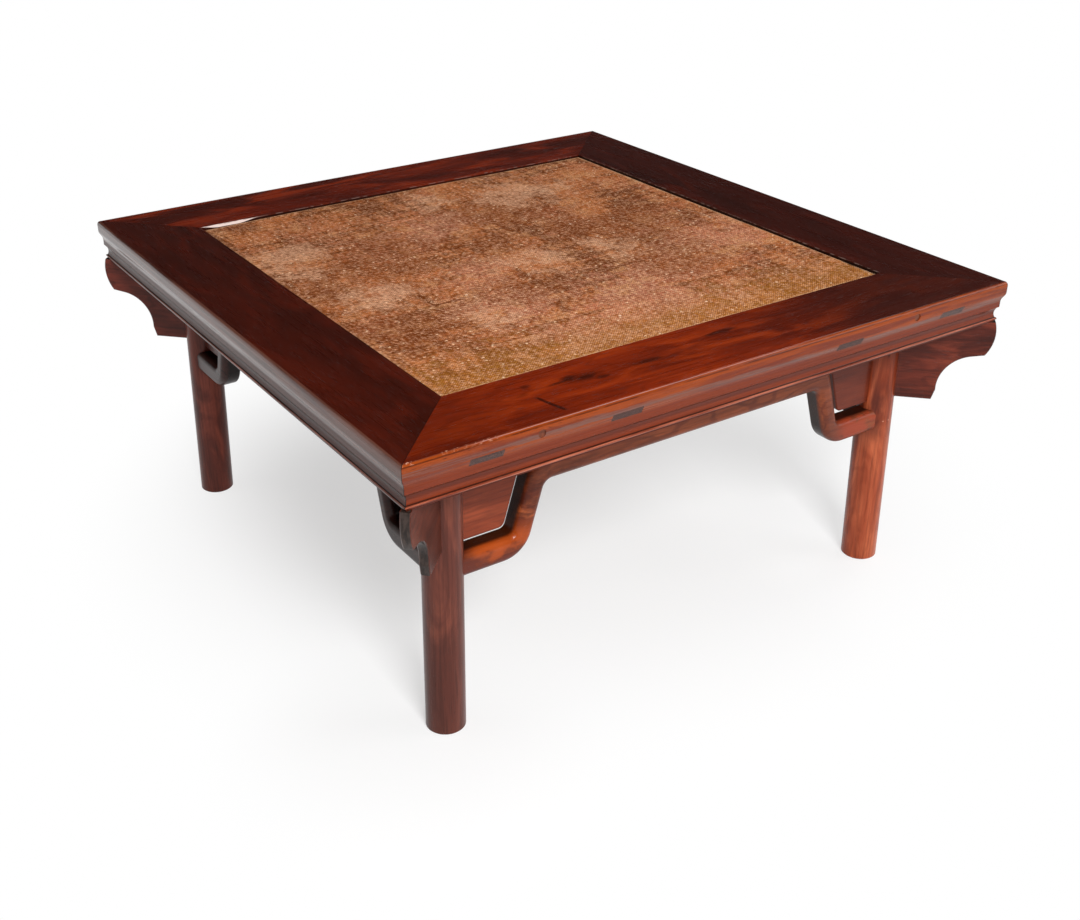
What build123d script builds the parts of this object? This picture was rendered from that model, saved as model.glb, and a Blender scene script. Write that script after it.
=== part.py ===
from build123d import *
from math import sqrt
import os

# A low square table: a mitred frame with a woven mat, four recessed round legs that splay a
# little, aprons let into the legs, humpback stretchers and diagonal brackets at the corners.
# Millimetres. X runs along the front edge, Y from front to back, Z up, and the origin is on
# the floor at the middle of the table.

# ---- Driving dimensions -------------------------------------------------------------------

table_side = 880.0  # over the widest part of the edge moulding
table_height = 418.0

# Frame of the top
frame_thickness = 55.0
rail_face = 111.5  # width of a rail's top face, edge moulding included
ledge_width = 20.0  # ledge inside the face, which carries the panel
tenon_thickness = 9.0  # through tenons of the frame and of the battens
rail_tenon_width = 41.0
rail_tenon_setback = 78.0  # from the frame's outer edge to the side rail's tenon
peg_diameter = 9.5
peg_length = 30.0
peg_spread = 552.0  # between the two pegs of one edge
peg_depth = 11.5  # from the top to the peg's axis
peg_sink = 1.2  # peg's head below the edge's widest part

# Edge moulding: distances in from the widest part, and down from the top
arris_in = 4.0
arris_drop = 6.0
lip_drop = 14.0
fillet_in = 4.0
fillet_top = 28.0
fillet_drop = 35.0
step_in = 6.0
step_drop = 36.5
waist_in = 8.0
waist_drop = 43.0
bead_in = 4.6
bead_root_in = 6.6
bead_top = 49.2
bead_drop = 51.0
bead_bottom = 52.8

# Panel and mat
mat_thickness = 4.0
mat_sink = 2.0  # mat below the frame's top
mat_clearance = 0.3
plank_thickness = 10.0
plank_count = 3
plank_clearance = 0.5
tongue_thickness = 3.5
tongue_length = 5.0
batten_width = 41.0
batten_height = 30.0
batten_spread = 330.0  # between the centres of the two battens

# Legs
leg_diameter = 48.0
leg_inset = 102.6  # from the widest part of the edge to the leg's axis, under the frame
leg_splay = 5.8  # outward lean of the axis, along X and along Y, from frame to floor
foot_chamfer = 1.5
leg_tenon_side = 20.0
leg_tenon_length = 26.0
tenon_end_clearance = 1.0
slot_depth_to_axis = 12.0  # what is left between a board's slot and the leg's axis

# Aprons and corner brackets
board_thickness = 14.0  # of the aprons
strip_height = 40.0
head_height = 119.0  # from the frame's underside to the bottom of the heads
head_reach = 77.5  # from the leg's axis to the head's end, at its bottom
head_flare = 24.0  # how much further the head reaches at the strip
head_corner_radius = 9.0
head_root_radius = 12.0
apron_tongue_thickness = 6.0
apron_tongue_height = 6.0
board_arris = 1.2  # bevel along the boards' shaped edges

# Humpback stretchers
stretcher_depth = 28.0  # front to back
stretcher_height = 31.0  # of the middle and the end runs
stretcher_offset = 4.0  # outward of the leg's axis
stretcher_drop = 89.0  # from the top of the middle run to the top of an end run
rise_width = 25.5  # of the two rises, measured level
rise_reach = 86.0  # from the leg's axis to the near side of a rise, at the end run's top
rise_flare = 27.0  # how much further the rise reaches at the middle run's top
side_stretcher_lift = 3.0  # the side stretchers' end runs, above the front's and the back's
lower_bend_radius = 40.0
lower_crook_radius = 8.0
upper_bend_radius = 26.0
upper_crook_radius = 12.0
stretcher_round = 9.0
stretcher_back_round = 3.5
scribe_clearance = 0.1
stretcher_tenon_thickness = 12.0
stretcher_tenon_height = 20.0
mortise_wall = 3.0  # wood left between the two stretcher mortises in a leg

# Corner brackets: distances along the diagonal, back from the corner of the edge's lip
bracket_thickness = 11.5
bracket_height = 114.5  # from the frame's underside to the brackets' bottom
nose_top_setback = 7.0
nose_setback = 4.5
nose_foot_setback = 13.5
nose_belly_drop = 21.0  # down from the frame's underside
nose_foot_drop = 46.5
shoulder_length = 16.0
shoulder_fall = 3.0
hollow_foot_drop = 100.0
bracket_foot_reach = 70.5  # from the leg's axis to the bracket's bottom corner
bracket_hollow_reach = 74.5  # and to the foot of its hollow

# ---- Derived places -----------------------------------------------------------------------

half_side = table_side / 2
frame_bottom = table_height - frame_thickness
opening_half = half_side - rail_face
ledge_half = opening_half - ledge_width
rebate_depth = mat_sink + mat_thickness + plank_thickness
ledge_level = table_height - rebate_depth
tenon_bottom = ledge_level - tenon_thickness
mortise_reach = rail_face + ledge_width

leg_top = half_side - leg_inset  # the leg's axis under the frame, along X and along Y
leg_foot = leg_top + leg_splay
leg_radius = leg_diameter / 2
slot_floor = leg_top - slot_depth_to_axis

head_level = frame_bottom - head_height
bracket_level = frame_bottom - bracket_height
strip_level = frame_bottom - strip_height
middle_run_bottom = strip_level - stretcher_height
corner_distance = sqrt(2) * half_side
bracket_root = sqrt(2) * leg_top + slot_depth_to_axis


def leg_axis_at(level):
    """Distance of a leg's axis from the table's middle, along X and along Y, at a level."""
    return leg_top + leg_splay * (frame_bottom - level) / frame_bottom


def end_run_drop(turn):
    """How far one side's stretcher falls from its middle run to its end runs."""
    return stretcher_drop - (side_stretcher_lift if turn % 180 else 0)


def end_run_level(turn):
    """Level of the middle of the end runs of one side's stretcher."""
    return strip_level - end_run_drop(turn) - stretcher_height / 2


apron_line = leg_axis_at((frame_bottom + head_level) / 2)
stretcher_line = leg_axis_at(end_run_level(0)) + stretcher_offset
stretcher_tenon_end = stretcher_line - stretcher_tenon_thickness / 2 - mortise_wall


# ---- Planes, seen from one side of the table and turned about its upright axis --------------


def turned(plane, turn):
    """The plane after a turn, in degrees, about the table's upright axis."""
    return Plane(
        plane.origin.rotate(Axis.Z, turn),
        x_dir=plane.x_dir.rotate(Axis.Z, turn),
        z_dir=plane.z_dir.rotate(Axis.Z, turn),
    )


def level_plane(level, turn=0):
    """Level plane; with no turn, its x runs along the front edge and its y to the back."""
    return turned(Plane.XY.offset(level), turn)


def edge_plane(turn):
    """Upright plane across a rail at its left end: x goes in from the edge, y is upward."""
    corner = (-half_side, -half_side, table_height)
    return turned(Plane(corner, x_dir=(0, 1, 0), z_dir=(1, 0, 0)), turn)


def front_plane(distance, turn):
    """Upright plane along one side, at a distance from the middle, facing outward."""
    return turned(Plane.XZ.offset(distance), turn)


def diagonal_plane(turn):
    """Upright plane through the front left corner: x goes out along the diagonal."""
    return turned(Plane((0, 0, 0), x_dir=(-1, -1, 0), z_dir=(-1, 1, 0)), turn)


sides = {"front": 0, "right": 90, "back": 180, "left": 270}
corners = {"front_left": 0, "front_right": 90, "back_right": 180, "back_left": 270}


def save(builder, name):
    """Label a finished piece and write it."""
    builder.part.label = name
    export_step(builder.part, f"parts/{name}.step")


os.makedirs("parts", exist_ok=True)


# ---- Frame ----------------------------------------------------------------------------------


def moulding_waste(turn):
    """Section of all that the moulding plane takes off one edge."""
    with BuildSketch(edge_plane(turn)) as waste:
        with BuildLine():
            Polyline((-1, -frame_thickness), (-1, 0), (arris_in, 0))
            EllipticalCenterArc((arris_in, -arris_drop), arris_in, arris_drop, 90, arc_size=90)
            Line((0, -arris_drop), (0, -lip_drop))
            Bezier(
                (0, -lip_drop),
                (0, -(lip_drop + fillet_top) / 2),
                (fillet_in, -(lip_drop + fillet_top) / 2),
                (fillet_in, -fillet_top),
            )
            Polyline((fillet_in, -fillet_top), (fillet_in, -fillet_drop), (step_in, -step_drop))
            ThreePointArc((step_in, -step_drop), (waist_in, -waist_drop), (bead_root_in, -bead_top))
            ThreePointArc(
                (bead_root_in, -bead_top), (bead_in, -bead_drop), (bead_root_in, -bead_bottom)
            )
            Polyline(
                (bead_root_in, -bead_bottom),
                (bead_root_in, -frame_thickness),
                (-1, -frame_thickness),
            )
        make_face()
    return waste.sketch


def frame_rail(name, turn, tenoned):
    """A mitred rail; the side rails have tenons, which show on the front and back edges."""
    with BuildPart() as rail:
        with BuildSketch(edge_plane(turn)):
            with BuildLine():
                Polyline(
                    (0, 0),
                    (rail_face, 0),
                    (rail_face, -rebate_depth),
                    (mortise_reach, -rebate_depth),
                    (mortise_reach, -frame_thickness),
                    (0, -frame_thickness),
                    close=True,
                )
            make_face()
        extrude(amount=table_side)
        split(bisect_by=turned(Plane((0, 0, 0), z_dir=(1, 1, 0)), turn), keep=Keep.BOTTOM)
        split(bisect_by=turned(Plane((0, 0, 0), z_dir=(1, -1, 0)), turn), keep=Keep.TOP)

        if tenoned:
            # A tenon at each end, from the ledge's inner side to the far rail's edge.
            tenon_y = -half_side + rail_tenon_setback + rail_tenon_width / 2
            tenon_length = half_side - ledge_half
            with BuildSketch(level_plane(tenon_bottom, turn)):
                for end in (-1, 1):
                    with Locations((end * (half_side - tenon_length / 2), tenon_y)):
                        Rectangle(tenon_length, rail_tenon_width)
            extrude(amount=tenon_thickness)
            extrude(moulding_waste(turn + 90), amount=table_side, mode=Mode.SUBTRACT)
            extrude(moulding_waste(turn - 90), amount=table_side, mode=Mode.SUBTRACT)
        else:
            # Through mortises for the side rails' tenons and the battens'.
            tenon_x = half_side - rail_tenon_setback - rail_tenon_width / 2
            with BuildSketch(level_plane(tenon_bottom, turn)):
                for end in (-1, 1):
                    with Locations((end * tenon_x, -half_side + mortise_reach / 2)):
                        Rectangle(rail_tenon_width, mortise_reach)
                    with Locations((end * batten_spread / 2, -half_side + mortise_reach / 2)):
                        Rectangle(batten_width, mortise_reach)
            extrude(amount=tenon_thickness, mode=Mode.SUBTRACT)
            with BuildSketch(front_plane(half_side - peg_length - peg_sink, turn)):
                with Locations(*peg_places()):
                    Circle(peg_diameter / 2)
            extrude(amount=peg_length + 2 * peg_sink, mode=Mode.SUBTRACT)

        extrude(moulding_waste(turn), amount=table_side, mode=Mode.SUBTRACT)

        # Mortises for the leg's tenons, half in each rail, and the apron's groove.
        with BuildSketch(level_plane(frame_bottom, turn)):
            with Locations((-leg_top, -leg_top), (leg_top, -leg_top)):
                Rectangle(leg_tenon_side, leg_tenon_side)
        extrude(amount=leg_tenon_length + tenon_end_clearance, mode=Mode.SUBTRACT)
        with BuildSketch(level_plane(frame_bottom, turn)):
            with Locations((0, -apron_line)):
                Rectangle(2 * slot_floor, apron_tongue_thickness)
        extrude(amount=apron_tongue_height, mode=Mode.SUBTRACT)
    save(rail, name)


def peg_places():
    """Centres of an edge's two pegs, along the rail and above the floor."""
    return [(end * peg_spread / 2, table_height - peg_depth) for end in (-1, 1)]


for side, turn in sides.items():
    frame_rail(f"frame_rail_{side}", turn, tenoned=side in ("left", "right"))

with BuildPart() as edge_pegs:
    for turn in (sides["front"], sides["back"]):
        with BuildSketch(front_plane(half_side - peg_sink, turn)):
            with Locations(*peg_places()):
                Circle(peg_diameter / 2)
        extrude(amount=-peg_length)
save(edge_pegs, "edge_pegs")


# ---- Panel, battens and mat -------------------------------------------------------------------

panel_half = opening_half - plank_clearance
plank_width = 2 * panel_half / plank_count
tongue_level = ledge_level + (plank_thickness - tongue_thickness) / 2

for number in range(plank_count):
    front_edge = -panel_half + number * plank_width
    with BuildPart() as plank:
        with BuildSketch(Plane.XY.offset(ledge_level)):
            with Locations((0, front_edge + plank_width / 2)):
                Rectangle(2 * panel_half, plank_width)
        extrude(amount=plank_thickness)
        if number > 0:
            with BuildSketch(Plane.XY.offset(tongue_level)):
                with Locations((0, front_edge + tongue_length / 2)):
                    Rectangle(2 * panel_half, tongue_length)
            extrude(amount=tongue_thickness, mode=Mode.SUBTRACT)
        if number < plank_count - 1:
            with BuildSketch(Plane.XY.offset(tongue_level)):
                with Locations((0, front_edge + plank_width + tongue_length / 2)):
                    Rectangle(2 * panel_half, tongue_length)
            extrude(amount=tongue_thickness)
    save(plank, f"panel_plank_{number + 1}")

for side, end in {"left": -1, "right": 1}.items():
    batten_x = end * batten_spread / 2
    with BuildPart() as batten:
        with BuildSketch(Plane.XY.offset(ledge_level)):
            with Locations((batten_x, 0)):
                Rectangle(batten_width, 2 * ledge_half)
        extrude(amount=-batten_height)
        with BuildSketch(Plane.XY.offset(ledge_level)):
            with Locations((batten_x, 0)):
                Rectangle(batten_width, table_side)
        extrude(amount=-tenon_thickness)
        extrude(moulding_waste(sides["front"]), amount=table_side, mode=Mode.SUBTRACT)
        extrude(moulding_waste(sides["back"]), amount=table_side, mode=Mode.SUBTRACT)
    save(batten, f"batten_{side}")

with BuildPart() as woven_mat:
    with BuildSketch(Plane.XY.offset(ledge_level + plank_thickness)):
        Rectangle(2 * (opening_half - mat_clearance), 2 * (opening_half - mat_clearance))
    extrude(amount=mat_thickness)
save(woven_mat, "woven_mat")


# ---- Legs -------------------------------------------------------------------------------------


def leg_shank(turn, radius):
    """The round leg alone, from the floor to the frame, at the corner given by the turn."""
    foot = Vector(-leg_foot, -leg_foot, 0)
    top = Vector(-leg_top, -leg_top, frame_bottom)
    across = turned(Plane(foot, z_dir=top - foot), turn)
    with BuildPart() as shank:
        with BuildSketch(across.offset(-leg_diameter)):
            Circle(radius)
        extrude(amount=frame_bottom + 2 * leg_diameter)
        split(bisect_by=Plane.XY, keep=Keep.TOP)
        split(bisect_by=Plane.XY.offset(frame_bottom), keep=Keep.BOTTOM)
    return shank.part


def leg(name, turn):
    """A leg with its tenon, the slots of three boards and the mortises of two stretchers."""
    slot_reach = leg_diameter
    mortise_floor = stretcher_tenon_end + tenon_end_clearance
    with BuildPart() as post:
        add(leg_shank(turn, leg_radius))
        chamfer(post.faces().sort_by(Axis.Z)[0].edges(), foot_chamfer)
        with BuildSketch(level_plane(frame_bottom, turn)):
            with Locations((-leg_top, -leg_top)):
                Rectangle(leg_tenon_side, leg_tenon_side)
        extrude(amount=leg_tenon_length)

        # Slots for the two aprons.
        with BuildSketch(level_plane(head_level, turn)):
            with Locations((-slot_floor + slot_reach / 2, -apron_line)):
                Rectangle(slot_reach, board_thickness)
            with Locations((-apron_line, -slot_floor + slot_reach / 2)):
                Rectangle(board_thickness, slot_reach)
        extrude(amount=head_height, mode=Mode.SUBTRACT)

        # Slot for the diagonal bracket.
        with BuildSketch(diagonal_plane(turn)):
            with Locations((bracket_root, bracket_level)):
                Rectangle(slot_reach, bracket_height, align=(Align.MIN, Align.MIN))
        extrude(amount=bracket_thickness / 2, both=True, mode=Mode.SUBTRACT)

        # Mortises for the two stretchers, one along each side that meets at the leg.
        with BuildSketch(level_plane(end_run_level(turn), turn)):
            with Locations((-mortise_floor + slot_reach / 2, -stretcher_line)):
                Rectangle(slot_reach, stretcher_tenon_thickness)
        extrude(amount=stretcher_tenon_height / 2, both=True, mode=Mode.SUBTRACT)
        with BuildSketch(level_plane(end_run_level(turn - 90), turn)):
            with Locations((-stretcher_line, -mortise_floor + slot_reach / 2)):
                Rectangle(stretcher_tenon_thickness, slot_reach)
        extrude(amount=stretcher_tenon_height / 2, both=True, mode=Mode.SUBTRACT)
    save(post, name)


for corner, turn in corners.items():
    leg(f"leg_{corner}", turn)


# ---- Aprons -----------------------------------------------------------------------------------


def shaped_edges(board, outward, root_direction, root):
    """Long edges of a board's two faces, without those at the frame and inside the legs."""
    faces = board.faces().filter_by(lambda face: abs(face.normal_at().dot(outward)) > 0.999)
    return faces.edges().filter_by(
        lambda edge: edge.center().Z < frame_bottom - board_arris
        and abs(abs(edge.center().dot(root_direction)) - root) > board_arris
    )


def apron(name, turn):
    """A strip under the rail with a flared head at each end, cut from one board."""
    head_end = leg_axis_at(head_level) - head_reach
    with BuildPart() as board:
        with BuildSketch(front_plane(apron_line - board_thickness / 2, turn)):
            with BuildLine():
                Polyline(
                    (0, strip_level),
                    (0, frame_bottom),
                    (slot_floor, frame_bottom),
                    (slot_floor, head_level),
                    ((slot_floor + head_end) / 2, head_level),
                )
                FilletPolyline(
                    ((slot_floor + head_end) / 2, head_level),
                    (head_end, head_level),
                    (head_end - head_flare, strip_level),
                    (0, strip_level),
                    radius=[head_corner_radius, head_root_radius],
                )
            make_face()
            mirror(about=Plane.YZ)
        extrude(amount=board_thickness)
        front = turned(Plane.XZ, turn)
        chamfer(shaped_edges(board, front.z_dir, front.x_dir, slot_floor), board_arris)
        with BuildSketch(level_plane(frame_bottom, turn)):
            with Locations((0, -apron_line)):
                Rectangle(2 * slot_floor, apron_tongue_thickness)
        extrude(amount=apron_tongue_height)
    save(board, name)


for side, turn in sides.items():
    apron(f"apron_{side}", turn)


# ---- Corner brackets --------------------------------------------------------------------------


def corner_bracket(name, turn):
    """A shaped board between a leg and the frame's corner."""
    nose_top = (corner_distance - nose_top_setback, frame_bottom)
    nose = (corner_distance - nose_setback, frame_bottom - nose_belly_drop)
    nose_foot = (corner_distance - nose_foot_setback, frame_bottom - nose_foot_drop)
    shoulder = (nose_foot[0] - shoulder_length, nose_foot[1] - shoulder_fall)
    leg_distance = sqrt(2) * leg_axis_at(bracket_level)
    hollow_foot = (leg_distance + bracket_hollow_reach, frame_bottom - hollow_foot_drop)
    foot = (leg_distance + bracket_foot_reach, bracket_level)
    with BuildPart() as bracket:
        with BuildSketch(diagonal_plane(turn)):
            with BuildLine():
                Polyline(
                    foot, (bracket_root, bracket_level), (bracket_root, frame_bottom), nose_top
                )
                ThreePointArc(nose_top, nose, nose_foot)
                run = Line(nose_foot, shoulder)
                TangentArc(shoulder, hollow_foot, tangent=run % 1)
                Line(hollow_foot, foot)
            make_face()
        extrude(amount=bracket_thickness / 2, both=True)
        across = diagonal_plane(turn)
        chamfer(shaped_edges(bracket, across.z_dir, across.x_dir, bracket_root), board_arris)
    save(bracket, name)


for corner, turn in corners.items():
    corner_bracket(f"corner_bracket_{corner}", turn)


# ---- Humpback stretchers ----------------------------------------------------------------------


def stretcher(name, turn):
    """A stretcher that rises in two bends to the apron, scribed and tenoned to the legs."""
    drop = end_run_drop(turn)
    end_run_top = strip_level - drop
    end_run_bottom = end_run_top - stretcher_height
    leg_level_axis = leg_axis_at(end_run_level(turn))
    rise_slope = rise_flare / stretcher_drop
    near_low = leg_level_axis - rise_reach
    near_high = near_low - rise_slope * drop
    far_low = near_low + rise_slope * stretcher_height - rise_width
    far_high = near_high + rise_slope * stretcher_height - rise_width
    with BuildPart() as bar:
        with BuildSketch(front_plane(stretcher_line - stretcher_depth / 2, turn)):
            with BuildLine():
                FilletPolyline(
                    (0, strip_level),
                    (near_high, strip_level),
                    (near_low, end_run_top),
                    (leg_level_axis, end_run_top),
                    radius=[upper_bend_radius, lower_crook_radius],
                )
                Line((leg_level_axis, end_run_top), (leg_level_axis, end_run_bottom))
                FilletPolyline(
                    (leg_level_axis, end_run_bottom),
                    (far_low, end_run_bottom),
                    (far_high, middle_run_bottom),
                    (0, middle_run_bottom),
                    radius=[lower_bend_radius, upper_crook_radius],
                )
                Line((0, middle_run_bottom), (0, strip_level))
            make_face()
            mirror(about=Plane.YZ)
        extrude(amount=stretcher_depth)
        outward = turned(Plane.XZ, turn).z_dir
        faces = bar.faces().filter_by(lambda face: abs(face.normal_at().dot(outward)) > 0.99)
        faces = faces.sort_by(lambda face: face.center().dot(outward))
        fillet(faces[-1].edges(), stretcher_round)
        fillet(faces[0].edges(), stretcher_back_round)
        add(leg_shank(turn, leg_radius + scribe_clearance), mode=Mode.SUBTRACT)
        add(leg_shank(turn + 90, leg_radius + scribe_clearance), mode=Mode.SUBTRACT)
        with BuildSketch(level_plane(end_run_level(turn), turn)):
            for end in (-1, 1):
                tenon_start = leg_level_axis - leg_radius - stretcher_height
                with Locations((end * (tenon_start + stretcher_tenon_end) / 2, -stretcher_line)):
                    Rectangle(stretcher_tenon_end - tenon_start, stretcher_tenon_thickness)
        extrude(amount=stretcher_tenon_height / 2, both=True)
    save(bar, name)


for side, turn in sides.items():
    stretcher(f"humpback_stretcher_{side}", turn)
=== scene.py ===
"""Looks of the kang table: lacquered rosewood, a woven mat, a white studio floor, lights and camera."""
import math

import bmesh
import bpy
from mathutils import Matrix, Vector


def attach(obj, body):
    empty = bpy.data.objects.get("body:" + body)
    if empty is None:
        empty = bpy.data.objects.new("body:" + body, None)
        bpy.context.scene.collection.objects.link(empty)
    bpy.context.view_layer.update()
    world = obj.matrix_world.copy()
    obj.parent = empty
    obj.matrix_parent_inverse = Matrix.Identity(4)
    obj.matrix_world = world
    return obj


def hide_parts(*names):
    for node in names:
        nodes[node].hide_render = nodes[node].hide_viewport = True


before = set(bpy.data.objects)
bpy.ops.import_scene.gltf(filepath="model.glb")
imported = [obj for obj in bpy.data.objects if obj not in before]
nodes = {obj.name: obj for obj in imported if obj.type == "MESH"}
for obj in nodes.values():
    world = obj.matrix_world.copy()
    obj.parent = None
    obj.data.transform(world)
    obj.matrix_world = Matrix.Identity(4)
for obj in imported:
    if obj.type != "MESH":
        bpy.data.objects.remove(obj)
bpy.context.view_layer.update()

TOP = 0.418                      # the frame's upper face
BLACK_BROWN = (0.006, 0.002, 0.001, 1)
PORE_BROWN = (0.010, 0.004, 0.003, 1)
GROOVE_SHADE = (0.012, 0.004, 0.003, 1)
SEAM_BROWN = (0.004, 0.002, 0.002, 1)
SHADE_BROWN = (0.004, 0.002, 0.0015, 1)
BLACK = (0, 0, 0, 1)
WHITE = (1, 1, 1, 1)


def tone(red, green, blue):
    """A colour given in 0 to 255, as the linear values that shaders take."""
    def linear(value):
        value /= 255
        return value / 12.92 if value <= 0.04045 else ((value + 0.055) / 1.055) ** 2.4
    return linear(red), linear(green), linear(blue), 1.0


# ---------------------------------------------------------------------------------------------- camera

# Worked out from the photo's frame, 1080 x 920, by taking the table's top as a square.
camera_data = bpy.data.cameras.new("camera")
camera_data.sensor_width = 36
camera_data.lens = 45.396
camera_data.shift_x = 0.03136
camera = bpy.data.objects.new("camera", camera_data)
bpy.context.scene.collection.objects.link(camera)
bpy.context.scene.camera = camera
right = Vector((0.83525, -0.54987, -0.00343))
forward = Vector((0.48244, 0.73580, -0.47524))
up = right.cross(forward)
camera.matrix_world = Matrix.Translation((-0.97968, -1.44596, 1.0392)) @ Matrix(
    (right, up, -forward)
).transposed().to_4x4()
bpy.context.scene.view_settings.view_transform = "Standard"


# ---------------------------------------------------------------------------------------------- lights

def softbox(name, place, target, width, height, radiance, colour=(1, 1, 1)):
    """A flat studio lamp of even brightness, which the camera doesn't see."""
    lamp = bpy.data.lights.new(name, "AREA")
    lamp.shape = "RECTANGLE"
    lamp.size, lamp.size_y = width, height
    lamp.energy = radiance * math.pi * width * height
    lamp.color = colour
    made = bpy.data.objects.new(name, lamp)
    made.location = place
    made.rotation_euler = (Vector(target) - Vector(place)).to_track_quat("-Z", "Y").to_euler()
    made.visible_camera = False
    bpy.context.scene.collection.objects.link(made)


softbox("key", (-0.85, -2.45, 2.00), (0.0, 0.0, 0.25), 0.9, 0.9, 35.0)
softbox("right_front", (2.2, -1.8, 1.2), (0.0, 0.0, 0.25), 1.6, 1.0, 3.4)
softbox("overhead", (0.1, 0.2, 2.9), (0.0, 0.0, 0.30), 2.2, 2.2, 0.8)
softbox("rim", (1.75, 0.25, 2.15), (0.0, 0.0, 0.40), 1.0, 0.5, 4.5)
softbox("left_back", (-2.2, 1.0, 0.9), (0.0, 0.0, 0.30), 2.0, 1.0, 0.9, (1.0, 0.93, 0.89))


# ------------------------------------------------------------------------------------- material helpers

class Paint:
    """One material, with short calls for the nodes that it is made of."""

    def __init__(self, tree):
        self.tree = tree
        tree.nodes.clear()
        self.place = self.node("ShaderNodeTexCoord").outputs["Object"]
        axes = self.node("ShaderNodeSeparateXYZ", {0: self.place})
        self.x, self.y, self.z = axes.outputs

    def node(self, kind, sockets=None, **settings):
        """A node with its settings; a socket gets a link or a plain value."""
        made = self.tree.nodes.new(kind)
        for key, value in settings.items():
            setattr(made, key, value)
        for key, value in (sockets or {}).items():
            if isinstance(value, bpy.types.NodeSocket):
                self.tree.links.new(value, made.inputs[key])
            else:
                made.inputs[key].default_value = value
        return made

    def math(self, operation, *values):
        """One step of arithmetic."""
        return self.node("ShaderNodeMath", dict(enumerate(values)), operation=operation).outputs[0]

    def smooth(self, value, start, end):
        """0 before start and 1 after end; the other way round where start is above end."""
        sockets = {"Value": value, "From Min": start, "From Max": end}
        return self.node("ShaderNodeMapRange", sockets, interpolation_type="SMOOTHSTEP").outputs[0]

    def spread(self, value, low, high):
        """The value's range 0 to 1, laid over low to high."""
        return self.node("ShaderNodeMapRange", {"Value": value, "To Min": low, "To Max": high}).outputs[0]

    def near(self, value, centre, reach, edge):
        """1 where the value is within reach of the centre, and 0 past reach plus edge."""
        away = self.math("ABSOLUTE", self.math("SUBTRACT", value, centre))
        return self.smooth(away, reach + edge, reach)

    def distance(self, place):
        """How far the surface is from a place, in metres."""
        sockets = {0: self.place, 1: place}
        return self.node("ShaderNodeVectorMath", sockets, operation="DISTANCE").outputs["Value"]

    def both(self, *masks):
        """Where all the masks are 1: their product."""
        made = masks[0]
        for mask in masks[1:]:
            made = self.math("MULTIPLY", made, mask)
        return made

    def mix(self, factor, under, over):
        """The colour under, covered by the colour over where the factor is 1."""
        sockets = {0: factor, 6: under, 7: over}
        return self.node("ShaderNodeMix", sockets, data_type="RGBA").outputs[2]

    def turned(self, turn):
        """The place after a turn, which lays the grain along its first axis."""
        return self.node("ShaderNodeMapping", {"Vector": self.place, "Rotation": turn}).outputs[0]

    def noise(self, place, scale, seed=0.0, detail=2.0, roughness=0.5, distortion=0.0):
        """Soft noise from 0 to 1; another seed gives other noise."""
        shift = (seed, seed * 1.7, seed * 0.6)
        scaled = self.node("ShaderNodeMapping", {"Vector": place, "Scale": scale, "Location": shift})
        sockets = {
            "Vector": scaled.outputs[0], "Scale": 1.0, "Detail": detail,
            "Roughness": roughness, "Distortion": distortion,
        }
        return self.node("ShaderNodeTexNoise", sockets).outputs[0]

    def specks(self, scale, size, share, seed=0.0):
        """Small spots, one in a share of the cells, scale cells to a metre."""
        shift = (seed, seed, seed)
        scaled = self.node("ShaderNodeMapping", {"Vector": self.place, "Scale": scale, "Location": shift})
        cells = self.node("ShaderNodeTexVoronoi", {"Vector": scaled.outputs[0], "Scale": 1.0})
        chance = self.node("ShaderNodeSeparateXYZ", {0: cells.outputs["Color"]}).outputs[0]
        spot = self.smooth(cells.outputs["Distance"], size, size * 0.5)
        return self.both(spot, self.smooth(chance, share, share * 0.9))

    def finish(self, colour, roughness, height, depth, coat=0.0, **uniform):
        """The shader itself: its colour, gloss, relief and clear coat, then the values that are uniform."""
        bump = self.node("ShaderNodeBump", {"Height": height, "Distance": depth, "Strength": 1.0})
        shader = self.node("ShaderNodeBsdfPrincipled", {
            "Base Color": colour, "Roughness": roughness, "Normal": bump.outputs[0], "Coat Weight": coat,
        })
        for key, value in uniform.items():
            shader.inputs[key.replace("_", " ")].default_value = value
        output = self.node("ShaderNodeOutputMaterial")
        self.tree.links.new(shader.outputs[0], output.inputs["Surface"])


def new_material(name):
    """An empty node material and its Paint."""
    material = bpy.data.materials.new(name)
    material.use_nodes = True
    return material, Paint(material.node_tree)


def dress(material, *names):
    """Gives CAD nodes a material, in every slot that they have."""
    for name in names:
        for slot in nodes[name].material_slots:
            slot.material = material


# ------------------------------------------------------------------------------------------------ wood

ALONG_X = (0.0, 0.0, 0.0)
ALONG_Y = (0.0, 0.0, -math.pi / 2)
ALONG_Z = (0.0, math.pi / 2, 0.0)


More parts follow.
